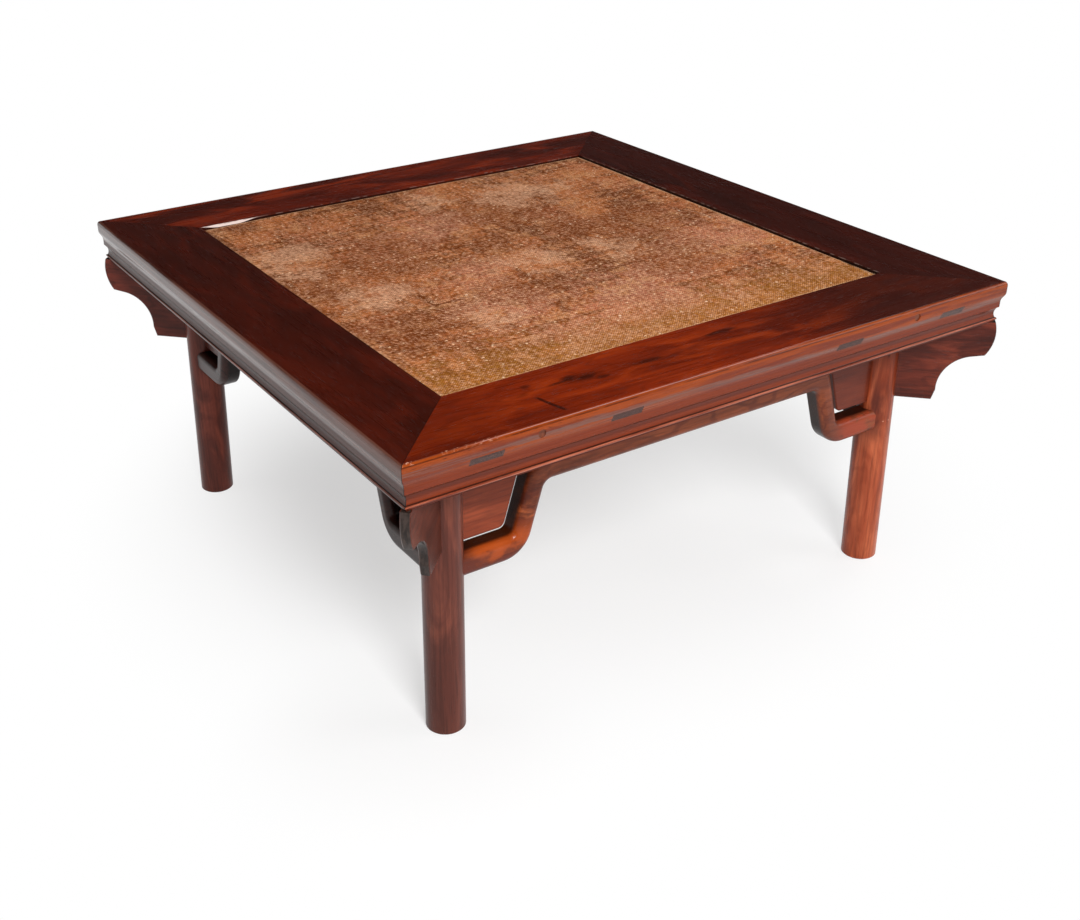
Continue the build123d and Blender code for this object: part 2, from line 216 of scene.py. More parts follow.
def grained(paint, turn, seed, dark, middle, light, figure=0.55, streaks=0.3):
    """Rosewood: flame-like tones, streaks, warped growth lines and pores along the grain."""
    grain = paint.turned(turn)
    broad = paint.noise(grain, (2.0, 11, 11), seed, detail=3, roughness=0.5)
    flame = paint.noise(grain, (6.0, 26, 26), seed + 3, detail=4, roughness=0.55, distortion=1.3)
    warp = paint.noise(grain, (3.4, 10, 10), seed + 7, detail=3)
    axes = paint.node("ShaderNodeSeparateXYZ", {0: grain}).outputs
    across = paint.math("ADD", axes[1], axes[2])
    phase = paint.math("ADD", paint.math("MULTIPLY", across, 260), paint.math("MULTIPLY", warp, 110))
    line = paint.both(paint.smooth(paint.math("SINE", phase), 0.45, 1.0), paint.smooth(broad, 0.42, 0.62))
    fine = paint.noise(grain, (10, 300, 300), seed + 11, detail=4, roughness=0.65, distortion=0.3)
    pore = paint.smooth(paint.noise(grain, (70, 1400, 1400), seed + 17, detail=1), 0.66, 0.76)
    tone_at = paint.math("ADD", paint.math("MULTIPLY", broad, 0.6), paint.math("MULTIPLY", flame, 0.4))
    colour = paint.mix(paint.smooth(tone_at, 0.38, 0.56), dark, middle)
    flames = paint.both(paint.smooth(flame, 0.48, 0.70), paint.spread(fine, 0.6, 1.1))
    colour = paint.mix(flames, colour, light)
    colour = paint.mix(paint.math("MULTIPLY", line, figure), colour, dark)
    colour = paint.mix(paint.both(paint.smooth(fine, 0.58, 0.36), streaks), colour, BLACK_BROWN)
    colour = paint.mix(paint.math("MULTIPLY", pore, 0.45), colour, PORE_BROWN)
    height = paint.math("SUBTRACT", paint.math("MULTIPLY", fine, 0.35), pore)
    return colour, fine, height


def lacquer(paint, colour, fine, height, roughness=0.30, coat=0.14):
    """An old, thin polish: most of its gloss is a soft one, under a weak clear coat."""
    paint.finish(
        colour, paint.spread(fine, roughness - 0.08, roughness + 0.10), height, 0.00012, coat,
        IOR=1.5, Specular_IOR_Level=0.14, Coat_Roughness=0.11, Coat_IOR=1.5,
    )


def plain_wood(name, turn, seed, dark, middle, light, names, figure=0.55, roughness=0.30, more=None):
    """A piece of one colour range all over; more adds marks of its own."""
    material, paint = new_material(name)
    colour, fine, height = grained(paint, turn, seed, dark, middle, light, figure)
    if more:
        colour = more(paint, colour)
    lacquer(paint, colour, fine, height, roughness)
    dress(material, *names)


# Depths of the moulding's parts below the frame's upper face.
FILLET_LINE = 0.0354
HOLLOW = 0.0400
BEAD_GROOVE = 0.0490
BEAD = (0.0492, 0.0498)
BEAD_FOOT = (0.0516, 0.0524)

# The moulding's start and the opening's wall, by their distance from the table's middle.
EDGE_START = 0.4355             # where the upper face rounds over into the moulding
EDGE_LEVEL = 0.4165             # and how high that is
WALL = (0.3291, 0.3287)         # the wall of the opening


def rail_wood(name, turn, seed, top, edge, marks=None):
    """A frame rail: its upper face, and the moulding whose lip, fillet, hollow and bead differ in colour. The
    hollow and the bead's groove carry painted shade, and the bead and the grey band are in part a painted
    highlight and sheen.
    """
    material, paint = new_material(name)
    colour, fine, height = grained(paint, turn, seed, *top, figure=0.4, streaks=0.12)
    ends_along_x = turn == ALONG_X
    along, across = (paint.x, paint.y) if ends_along_x else (paint.y, paint.x)
    out = paint.math("ABSOLUTE", across)
    depth = paint.math("SUBTRACT", TOP, paint.z)

    grain = paint.turned(turn)
    stripe = paint.noise(grain, (5.0, 30, 120), seed + 23, detail=4, roughness=0.55, distortion=1.2)
    thread = paint.noise(grain, (9, 60, 700), seed + 29, detail=3, roughness=0.6)
    red, lip, bead, grey = edge
    face = paint.mix(paint.smooth(stripe, 0.34, 0.58), red, lip)
    face = paint.mix(paint.both(paint.smooth(depth, 0.018, 0.030), 0.85), face, red)
    dark_thread = paint.both(paint.smooth(thread, 0.50, 0.32), 0.3)
    face = paint.mix(dark_thread, face, paint.mix(0.7, red, BLACK))
    # A grey band along the lip, which wanders and widens along the rail: partly the finish's own grey, partly
    # a painted sheen.
    drift = paint.spread(paint.noise(grain, (9, 1, 1), seed + 31, detail=3), -0.0035, 0.0035)
    middle = paint.math("ADD", paint.spread(paint.smooth(along, -0.30, 0.25), 0.0130, 0.0225), drift)
    off = paint.math("ABSOLUTE", paint.math("SUBTRACT", depth, middle))
    width = paint.spread(paint.noise(grain, (14, 1, 60), seed + 37, detail=4, roughness=0.6), -0.0030, 0.0085)
    width = paint.math("ADD", width, paint.spread(paint.smooth(along, 0.0, 0.25), 0.0, 0.0015))
    band = paint.smooth(paint.math("SUBTRACT", off, width), 0.0010, -0.0010)
    face = paint.mix(paint.both(band, paint.smooth(thread, 0.30, 0.60), 0.85), face, grey)
    # Painted shade: the moulding's hollow is darkened toward black.
    hollow = paint.both(paint.near(depth, HOLLOW, 0.0030, 0.0012), 0.7)
    face = paint.mix(hollow, face, paint.mix(0.45, red, BLACK))
    face = paint.mix(paint.both(paint.near(depth, FILLET_LINE, 0.0002, 0.0004), 0.6), face, bead)
    # Painted shade: a dark line in the groove at the bead's root.
    groove = paint.both(paint.near(depth, BEAD_GROOVE, 0.0003, 0.0005), 0.8)
    face = paint.mix(groove, face, GROOVE_SHADE)
    # Painted highlight in part: the bead's pale tone, broken by the grain.
    bead_tone = paint.mix(paint.smooth(thread, 0.30, 0.7), red, bead)
    face = paint.mix(paint.smooth(depth, *BEAD), face, bead_tone)
    face = paint.mix(paint.smooth(depth, *BEAD_FOOT), face, paint.mix(0.5, red, BLACK))
    sloped = paint.math("MULTIPLY", paint.math("SUBTRACT", EDGE_LEVEL, paint.z), 0.5)
    outer = paint.math("ADD", paint.math("SUBTRACT", out, EDGE_START), sloped)
    on_edge = paint.smooth(outer, 0.0, 0.0012)
    colour = paint.mix(on_edge, colour, face)

    off_x, off_y = paint.math("ABSOLUTE", paint.x), paint.math("ABSOLUTE", paint.y)
    gap = paint.math("ABSOLUTE", paint.math("SUBTRACT", off_x, off_y))
    seam = paint.both(paint.smooth(gap, 0.0009, 0.0003), 0.9)
    colour = paint.mix(seam, colour, SEAM_BROWN)
    # Painted shade: the opening's wall below its upper edge, in the gap beside the mat, is painted near
    # black.
    wall_shade = paint.both(paint.smooth(out, *WALL), paint.smooth(depth, 0.0006, 0.0011))
    colour = paint.mix(paint.both(wall_shade, 0.85), colour, tone(20, 10, 8))
    if marks:
        colour = marks(paint, colour, along, out, depth)
    height = paint.math("ADD", height, paint.both(on_edge, paint.math("MULTIPLY", thread, 0.5)))
    if not ends_along_x:
        colour = tenon_end(paint, colour)
    polish = 0.16 if ends_along_x else paint.spread(paint.smooth(along, -0.42, 0.30), 0.36, 0.66)
    coat = paint.math("MAXIMUM", paint.both(on_edge, paint.smooth(depth, 0.030, 0.026), polish), 0.14)
    lacquer(paint, colour, fine, height, 0.28, coat)
    dress(material, name)


def tenon_end(paint, colour):
    """Dark end grain where a through tenon shows on the front and back edges."""
    at_edge = paint.both(
        paint.smooth(paint.math("ABSOLUTE", paint.y), 0.429, 0.430),
        paint.smooth(paint.math("ABSOLUTE", paint.x), 0.402, 0.400),
    )
    cells = paint.noise(paint.place, (900, 60, 900), 5, detail=3, roughness=0.7)
    end = paint.mix(paint.smooth(cells, 0.35, 0.7), tone(48, 29, 25), tone(92, 62, 55))
    return paint.mix(at_edge, colour, end)


# Each moulding's ground, lip, bead and grey band. The bead's tone is partly a painted highlight, and the grey
# band partly a painted sheen.
FRONT_EDGE = (tone(108, 42, 22), tone(140, 59, 12), tone(184, 108, 82), tone(108, 76, 68))
SIDE_EDGE = (tone(72, 37, 29), tone(104, 64, 52), tone(150, 100, 88), tone(96, 64, 54))


def knot(paint, along, across, reach_along, reach_across, x, y):
    """How much of a dark knot there is at a place: 1 in its middle, ragged along the grain."""
    fray = paint.noise(paint.place, (90, 160, 1), x * 40, detail=4, roughness=0.7)
    ragged = paint.spread(fray, -0.55, 0.55)
    from_x = paint.math("DIVIDE", paint.math("SUBTRACT", along, x), reach_along)
    from_y = paint.math("DIVIDE", paint.math("SUBTRACT", across, y), reach_across)
    away = paint.math("ADD", paint.math("MULTIPLY", from_x, from_x), paint.math("MULTIPLY", from_y, from_y))
    return paint.smooth(paint.math("ADD", paint.math("SQRT", away), ragged), 1.15, 0.35)


def worn_arris(paint, colour, along, out, depth):
    """A grey, broken line where the opening's upper edge has lost its polish."""
    arris = paint.both(paint.near(out, 0.3288, 0.0004, 0.0004), paint.smooth(depth, 0.0010, 0.0006))
    worn = paint.smooth(paint.noise(paint.place, (70, 70, 200), 4, detail=4, roughness=0.7), 0.47, 0.56)
    return paint.mix(paint.both(arris, worn, 0.55), colour, tone(150, 130, 122))


def back_glint_and_wear(paint, colour, along, out, depth):
    """On the back rail: a painted white highlight along the opening near its left end, where the mat has sunk
    away from it.
    """
    ragged = paint.spread(paint.noise(paint.place, (70, 70, 70), 3, detail=3), -0.0012, 0.0012)
    taper = paint.both(paint.smooth(paint.x, -0.332, -0.300), paint.smooth(paint.x, -0.236, -0.272))
    inside = paint.math("ADD", paint.math("SUBTRACT", paint.y, 0.3285), paint.both(ragged, taper))
    on_top = paint.math("SUBTRACT", inside, paint.math("MULTIPLY", taper, 0.0009))
    on_wall = paint.math("SUBTRACT", depth, paint.math("MULTIPLY", taper, 0.0042))
    # Painted highlight: the white strip on the opening's upper face and wall, tapering to the right.
    painted_glint = paint.both(paint.smooth(on_top, 0.0003, -0.0001), paint.smooth(on_wall, 0.0002, -0.0004))
    colour = paint.mix(paint.both(painted_glint, paint.smooth(taper, 0.02, 0.10)), colour, tone(240, 226, 220))
    return worn_arris(paint, colour, along, out, depth)


def front_marks(paint, colour, along, out, depth):
    """On the front rail: knots, a darker right end, painted shade at the left end, pale chips along the
    corner's worn edge and a painted highlight along the arris.
    """
    face = paint.smooth(depth, 0.0006, 0.0002)
    colour = paint.mix(paint.both(face, paint.smooth(along, 0.00, 0.27), 0.84), colour, tone(44, 11, 5))
    # Painted shade: the upper face darkens toward the left end.
    colour = paint.mix(paint.both(face, paint.smooth(along, -0.20, -0.40), 0.50), colour, tone(70, 16, 4))
    for x, y, long, wide, strength in (
        (-0.1760, -0.3735, 0.0340, 0.0120, 0.45), (-0.1915, -0.3663, 0.0120, 0.0080, 0.75),
        (-0.1720, -0.3740, 0.0140, 0.0060, 0.75), (-0.1570, -0.3830, 0.0130, 0.0050, 0.75),
        (-0.2070, -0.3700, 0.0160, 0.0030, 0.75), (-0.0900, -0.3780, 0.0240, 0.0060, 0.75),
        (0.0300, -0.3600, 0.0300, 0.0050, 0.75), (-0.2420, -0.3582, 0.0080, 0.0050, 0.60),
        (-0.2558, -0.3743, 0.0100, 0.0040, 0.40),
    ):
        dark = paint.both(face, knot(paint, paint.x, paint.y, long, wide, x, y), strength)
        colour = paint.mix(dark, colour, tone(48, 13, 5))
    slanted = paint.math("ADD", paint.x, paint.math("MULTIPLY", paint.math("ADD", paint.y, 0.4070), 0.23))
    wobble = paint.spread(paint.noise(paint.place, (60, 60, 1), 5, detail=3), -0.002, 0.002)
    crack = paint.near(paint.math("ADD", slanted, wobble), -0.2428, 0.0012, 0.0024)
    crack = paint.both(face, crack, paint.near(paint.y, -0.4070, 0.0170, 0.0060), 0.85)
    colour = paint.mix(crack, colour, tone(40, 11, 5))
    corner = paint.both(paint.smooth(out, 0.4352, 0.4362), paint.smooth(depth, 0.0036, 0.0022))
    worn = paint.smooth(paint.noise(paint.place, (220, 220, 220), 2, detail=4, roughness=0.75), 0.53, 0.60)
    chips, tip = paint.near(along, -0.383, 0.004, 0.008), paint.near(along, -0.431, 0.004, 0.006)
    faint = paint.both(paint.near(along, -0.347, 0.014, 0.010), 0.45)
    spots = paint.math("MAXIMUM", paint.math("MAXIMUM", chips, tip), faint)
    colour = paint.mix(paint.both(corner, worn, spots, 0.8), colour, tone(206, 150, 124))
    # Painted highlight: a thin pale line along the front arris, broken in places.
    thin = paint.noise(paint.place, (26, 1, 1), 6, detail=3)
    part = paint.math("MAXIMUM", paint.near(along, -0.13, 0.16, 0.10), paint.smooth(thin, 0.48, 0.60))
    line = paint.both(paint.near(depth, 0.0008, 0.00005, 0.0003), paint.smooth(out, 0.4360, 0.4368), part)
    line = paint.both(line, paint.smooth(along, 0.16, 0.02), 0.62)
    colour = paint.mix(line, colour, tone(176, 146, 146))
    under = paint.both(paint.near(depth, 0.0030, 0.0004, 0.0006), paint.smooth(thin, 0.62, 0.45))
    under = paint.both(under, paint.smooth(out, 0.436, 0.437), 0.7)
    colour = paint.mix(under, colour, tone(54, 16, 8))
    dash = paint.smooth(paint.noise(paint.place, (55, 1, 700), 9, detail=2), 0.62, 0.70)
    lip = paint.both(paint.smooth(depth, 0.002, 0.004), paint.smooth(depth, 0.016, 0.011))
    dashes = paint.both(dash, lip, paint.smooth(along, -0.10, -0.34), 0.85)
    return paint.mix(dashes, colour, tone(52, 16, 8))


for rail, turn, seed, top, edge, marks in (
    ("front", ALONG_X, 2.0, (tone(90, 22, 4), tone(130, 38, 6), tone(154, 52, 10)), FRONT_EDGE, front_marks),
    ("back", ALONG_X, 9.0, (tone(66, 17, 6), tone(106, 29, 8), tone(142, 46, 14)), FRONT_EDGE, back_glint_and_wear),
    ("left", ALONG_Y, 15.0, (tone(56, 15, 6), tone(68, 19, 8), tone(80, 23, 9)), SIDE_EDGE, None),
    ("right", ALONG_Y, 21.0, (tone(48, 12, 5), tone(60, 16, 7), tone(74, 21, 8)), SIDE_EDGE, worn_arris),
):
    rail_wood(f"frame_rail_{rail}", turn, seed, top, edge, marks)


def front_right_leg(paint, colour):
    """Darker at its top, with painted shade where the stretchers meet it, a dark streak and two pale specks.
    """
    patchy = paint.noise(paint.place, (26, 26, 12), 7, detail=4, roughness=0.6)
    # Painted shade on the leg around the stretchers' ends, patchy.
    stretcher_shade = paint.both(paint.near(paint.z, 0.232, 0.018, 0.045), paint.smooth(patchy, 0.36, 0.58))
    colour = paint.mix(paint.math("MULTIPLY", stretcher_shade, 0.8), colour, tone(74, 28, 18))
    colour = paint.mix(paint.both(paint.smooth(paint.z, 0.270, 0.345), 0.75), colour, tone(112, 46, 24))
    front = paint.smooth(paint.y, -0.345, -0.350)
    lean = paint.math("ADD", paint.x, paint.math("MULTIPLY", paint.math("SUBTRACT", paint.z, 0.313), 0.125))
    upright = paint.near(lean, 0.3295, 0.0010, 0.0014)
    streak = paint.both(front, paint.near(paint.z, 0.322, 0.006, 0.007), upright)
    colour = paint.mix(streak, colour, tone(30, 12, 9))
    level = paint.near(paint.z, 0.2176, 0.0003, 0.0007)
    for x in (0.3333, 0.3424):
        speck = paint.both(front, paint.near(paint.x, x, 0.0002, 0.0006), level)
        colour = paint.mix(speck, colour, tone(226, 176, 146))
    return colour


for leg, seed, shades, more in (
    ("front_left", 4.0, (tone(84, 41, 32), tone(102, 53, 42), tone(122, 64, 48)), None),
    # The front right leg's tones are lighter than the other legs': partly painted light from the right.
    ("front_right", 12.0, (tone(118, 46, 22), tone(160, 72, 42), tone(190, 98, 62)), front_right_leg),
    ("back_left", 19.0, (tone(80, 34, 25), tone(118, 52, 38), tone(140, 66, 48)), None),
    ("back_right", 27.0, (tone(72, 34, 26), tone(104, 52, 40), tone(130, 66, 48)), None),
):
    plain_wood(f"leg_{leg}", ALONG_Z, seed, *shades, [f"leg_{leg}"], figure=0.35, more=more)


def front_apron(paint, colour):
    """Redder and darker toward its right head."""
    return paint.mix(paint.both(paint.smooth(paint.x, 0.0, 0.24), 0.55), colour, tone(82, 26, 11))


for side, seed, turn, shades, more in (
    ("front", 5.0, ALONG_X, (tone(108, 44, 24), tone(130, 55, 30), tone(146, 66, 38)), front_apron),
    ("right", 13.0, ALONG_Y, (tone(68, 26, 16), tone(104, 44, 28), tone(126, 56, 34)), None),
    ("back", 22.0, ALONG_X, (tone(76, 28, 16), tone(114, 46, 28), tone(136, 60, 36)), None),
    ("left", 30.0, ALONG_Y, (tone(62, 26, 18), tone(96, 42, 31), tone(120, 56, 42)), None),
):
    plain_wood(f"apron_{side}", turn, seed, *shades, [f"apron_{side}"], figure=0.7, more=more)


def shade_behind(paint, colour, across):
    """Painted shade, near black, on a stretcher's sides that face away from its front."""
    out = paint.math("ABSOLUTE", across)
    return paint.mix(paint.both(paint.smooth(out, 0.3530, 0.3460), 0.88), colour, SHADE_BROWN)


def front_stretcher(paint, colour):
    """Orange at its left end and dark at its right one, with dark patches on both bends, and painted light
    and shade on the low run.
    """
    patchy = paint.noise(paint.place, (30, 30, 50), 4, detail=5, roughness=0.6)
    left = paint.smooth(paint.x, -0.12, -0.24)
    # On the low run the wood's orange is kept to the upper side and fades downward: painted light, as on a
    # round section.
    lifted = paint.math("ADD", paint.z, paint.spread(patchy, -0.022, 0.022))
    lit_orange = paint.both(left, paint.smooth(lifted, 0.214, 0.228), paint.smooth(paint.z, 0.260, 0.232))
    lit_orange = paint.both(lit_orange, paint.smooth(paint.x, -0.322, -0.298))
    colour = paint.mix(paint.math("MULTIPLY", lit_orange, 0.72), colour, tone(170, 72, 20))
    ripple = paint.noise(paint.place, (50, 50, 130), 6, detail=4, roughness=0.6)
    rise = paint.both(paint.smooth(paint.z, 0.232, 0.256), paint.smooth(paint.z, 0.330, 0.318))
    risen = paint.both(rise, paint.smooth(paint.x, -0.12, -0.20), paint.smooth(ripple, 0.54, 0.42), 0.52)
    colour = paint.mix(risen, colour, tone(62, 24, 15))
    # Painted shade: a dull brown along the low run's lower edge.
    under = paint.both(left, paint.smooth(lifted, 0.222, 0.208), paint.smooth(paint.x, -0.22, -0.26))
    colour = paint.mix(paint.math("MULTIPLY", under, 0.75), colour, tone(92, 40, 32))
    colour = paint.mix(paint.both(left, paint.smooth(patchy, 0.44, 0.34), 0.3), colour, tone(92, 34, 18))
    bend = paint.both(paint.smooth(paint.x, 0.16, 0.22), paint.smooth(paint.x, 0.300, 0.270))
    dull = paint.both(bend, paint.smooth(paint.z, 0.262, 0.232), paint.smooth(patchy, 0.86, 0.54), 0.45)
    colour = paint.mix(dull, colour, tone(54, 31, 28))
    colour = paint.mix(paint.both(paint.smooth(paint.x, 0.15, 0.21), 0.35), colour, tone(96, 44, 32))
    red = paint.both(paint.smooth(paint.x, 0.240, 0.275), paint.smooth(patchy, 0.38, 0.52), 0.75)
    colour = paint.mix(red, colour, tone(152, 58, 32))
    return shade_behind(paint, colour, paint.y)


def back_stretcher(paint, colour):
    """Painted shade behind, where behind is along y."""
    return shade_behind(paint, colour, paint.y)


def side_stretcher(paint, colour):
    """Painted shade behind, where behind is along x."""
    return shade_behind(paint, colour, paint.x)


for side, seed, turn, shades, more in (
    ("front", 6.0, ALONG_X, (tone(88, 36, 20), tone(128, 62, 33), tone(158, 80, 42)), front_stretcher),
    ("right", 14.0, ALONG_Y, (tone(62, 22, 13), tone(96, 36, 20), tone(120, 50, 28)), side_stretcher),
    ("back", 23.0, ALONG_X, (tone(72, 24, 13), tone(112, 42, 22), tone(136, 56, 30)), back_stretcher),
    ("left", 31.0, ALONG_Y, (tone(38, 18, 14), tone(62, 30, 24), tone(82, 42, 32)), side_stretcher),
):
    plain_wood(
        f"stretcher_{side}", turn, seed, *shades, [f"humpback_stretcher_{side}"], figure=0.6, more=more,
    )


def grey_ends(paint, colour):
    """A bracket's shaped edge, where the end grain has gone dark and grey."""
    off = paint.math("MINIMUM", *[
        paint.math("ABSOLUTE", paint.math(operation, paint.x, paint.y)) for operation in ("ADD", "SUBTRACT")
    ])
    cells = paint.noise(paint.place, (260, 260, 90), 4, detail=4, roughness=0.6)
    end = paint.mix(paint.smooth(cells, 0.35, 0.70), tone(36, 28, 25), tone(64, 52, 47))
    return paint.mix(paint.smooth(off, 0.0073, 0.0066), colour, end)


for corner, seed, spin, shades in (
    ("front_left", 7.0, -0.75, (tone(62, 27, 18), tone(84, 39, 27), tone(102, 50, 36))),
    ("front_right", 16.0, 0.75, (tone(64, 22, 14), tone(94, 36, 23), tone(122, 52, 34))),
    ("back_right", 24.0, -0.75, (tone(62, 22, 15), tone(94, 36, 24), tone(116, 50, 32))),
    ("back_left", 33.0, 0.75, (tone(70, 26, 18), tone(104, 42, 30), tone(130, 58, 44))),
):
    plain_wood(
        f"bracket_{corner}", (0, 0, spin), seed, *shades, [f"corner_bracket_{corner}"],
        figure=0.5, more=grey_ends,
    )

plain_wood("pegs", ALONG_Y, 3.0, tone(70, 34, 24), tone(112, 58, 38), tone(140, 80, 54), ["edge_pegs"])
plain_wood(
    "panel_wood", ALONG_Y, 40.0, tone(96, 60, 38), tone(136, 92, 60), tone(160, 116, 80),
    ["panel_plank_1", "panel_plank_2", "panel_plank_3"], figure=0.4, roughness=0.55,
)
plain_wood(
    "batten_wood", ALONG_Y, 44.0, tone(90, 54, 34), tone(128, 82, 54), tone(150, 104, 70),
    ["batten_left", "batten_right"], figure=0.4, roughness=0.5, more=tenon_end,
)


# ------------------------------------------------------------------------------------------- woven mat

PITCH = 0.00175           # from one strand to the next
MAT_HALF = 0.3281         # half of the mat's side
MAT_TOP = 0.41540         # mean level of its upper face
MAT_FOOT = 0.4121         # where its turned-down rim ends, just over the boards
STRAND_RISE = 0.00030     # how far a strand rises or falls at a crossing
FOLD_REACH = 0.0035       # width of the rim that turns down
FOLD_DROP = 0.0026
SUNK_DROP = 0.0024        # how far the back left corner has sunk


def mat_height(x, y):
    """The upper face: strands that pass over and under each other, on a board that isn't quite flat."""
    column, row = round(x / PITCH), round(y / PITCH)
    over = STRAND_RISE if (column + row) % 2 else -STRAND_RISE
    swell = 0.00018 * math.sin(9.1 * x + 1.3) * math.cos(7.3 * y - 0.6)
    ripple = 0.00012 * math.sin(31 * x + 17 * y)
    inset = MAT_HALF - max(abs(x), abs(y))
    fold = 1 - min(1, inset / FOLD_REACH)
    sunk = max(0, 1 - math.hypot((x + 0.315) / 0.110, (y - 0.328) / 0.030))
    return MAT_TOP + over * (1 - fold) + swell + ripple - max(FOLD_DROP * fold * fold, SUNK_DROP * sunk)


def woven_mat():
    """The mat as one woven sheet, turned down to the boards all round."""
    count = round(2 * MAT_HALF / PITCH)
    shape = bmesh.new()
    bmesh.ops.create_grid(shape, x_segments=count, y_segments=count, size=MAT_HALF)
    for point in shape.verts:
        point.co.z = mat_height(point.co.x, point.co.y)
    # The rim is built face by face: Blender's extrusion gives its faces another order in each run.
    rim = [point for point in shape.verts if point.is_boundary]
    feet = {point: shape.verts.new((point.co.x, point.co.y, MAT_FOOT)) for point in rim}
    for edge in [edge for edge in shape.edges if edge.is_boundary]:
        loop = edge.link_loops[0]
        start, end = loop.vert, loop.link_loop_next.vert
        shape.faces.new((end, start, feet[start], feet[end]))
    for face in shape.faces:
        face.smooth = True
    mesh = bpy.data.meshes.new("woven_cane_mat")
    shape.to_mesh(mesh)
    shape.free()
    made = bpy.data.objects.new("woven_cane_mat", mesh)
    bpy.context.scene.collection.objects.link(made)
    return made


# Patches of the mat's colour, each by its x, y and reach.
PALE = (
    (0.145, 0.226, 0.058), (-0.275, 0.150, 0.055), (0.000, -0.040, 0.046), (-0.160, -0.175, 0.028),
    (-0.242, -0.040, 0.036), (0.105, -0.045, 0.036), (-0.005, 0.245, 0.034),
)
PINK = (
    (-0.098, -0.040, 0.060), (0.016, -0.220, 0.100), (0.244, -0.095, 0.070), (-0.090, -0.260, 0.070),
    (-0.108, -0.150, 0.070), (-0.055, 0.157, 0.060),
)
BROWN = (
    (-0.180, 0.075, 0.100), (-0.070, -0.112, 0.060), (0.055, 0.170, 0.080), (0.125, 0.025, 0.060),
    (-0.299, 0.030, 0.060), (-0.265, -0.150, 0.070), (0.230, 0.020, 0.060), (-0.030, 0.050, 0.050),
    (0.164, -0.130, 0.060), (0.190, -0.040, 0.045),
)


def patches(paint, places, ragged):
    """Soft ragged patches at the places, each given by its x, y and reach."""
    made = 0.0
    for x, y, reach in places:
        away = paint.distance((x, y, 0.4155))
        share = paint.math("ADD", paint.math("DIVIDE", away, reach), ragged)
        made = paint.math("MAXIMUM", made, paint.smooth(share, 1.25, 0.45))
    return made


